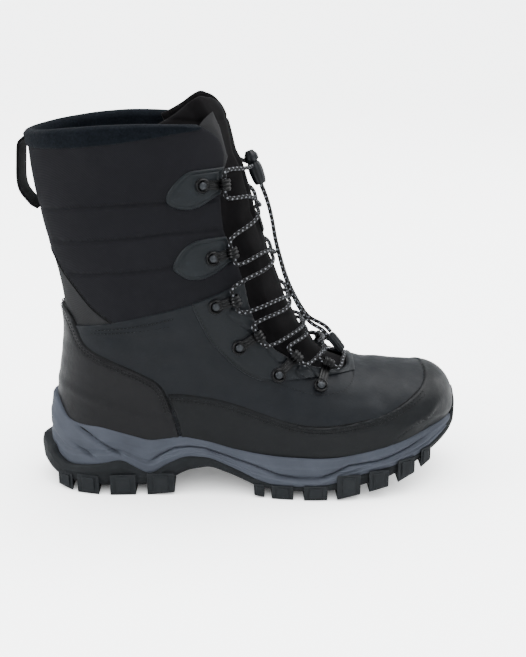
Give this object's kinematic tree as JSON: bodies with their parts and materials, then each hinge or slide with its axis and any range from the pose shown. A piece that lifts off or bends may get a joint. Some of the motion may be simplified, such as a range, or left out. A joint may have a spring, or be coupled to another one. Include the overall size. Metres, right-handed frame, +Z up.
{
  "type": "snow boot",
  "caption": "Lace-up snow boot for the right foot, ankle shaft with padded collar and tongue, lace hooks, foam midsole and deep lugged rubber outsole.",
  "frame": {"origin": "on the floor, under the middle of the boot's box", "axes": "+X towards the toe, +Y towards the inner side of the foot, +Z up"},
  "size_m": [0.308, 0.1204, 0.2745],
  "materials": {
    "leather": "matt dark blue-grey coated leather, soft-shell cloth above it",
    "smooth": "smooth black coated leather",
    "softshell": "brown-black padded cloth",
    "lining": "dark padded lining",
    "foam": "blue-grey moulded foam",
    "rubber": "matt dark grey rubber",
    "webbing": "black woven tape",
    "lace": "round black lace with light flecks",
    "metal": "dark grey coated metal hooks",
    "plastic": "black moulded plastic"
  },
  "bodies": {
    "root": {"upper": "leather", "collar": "lining", "tongue": "softshell", "insole": "lining", "heel_counter": "smooth", "toe_rand": "smooth", "eyestay": "leather", "hook_patch_upper_outer": "smooth", "hook_patch_upper_inner": "smooth", "hook_patch_lower_outer": "smooth", "hook_patch_lower_inner": "smooth", "midsole": "foam", "outsole": "rubber", "hook_1_outer": "metal", "hook_1_inner": "metal", "hook_2_outer": "metal", "hook_2_inner": "metal", "hook_3_outer": "metal", "hook_3_inner": "metal", "hook_4_outer": "metal", "hook_4_inner": "metal", "hook_5_outer": "metal", "hook_5_inner": "metal", "hook_6_outer": "metal", "hook_6_inner": "metal", "laces": "lace", "cord_lock": "plastic", "lace_end_a": "lace", "lace_end_b": "lace", "lace_clip": "plastic", "lace_keeper": "webbing", "pull_loop": "webbing"}
  },
  "joints": []
}
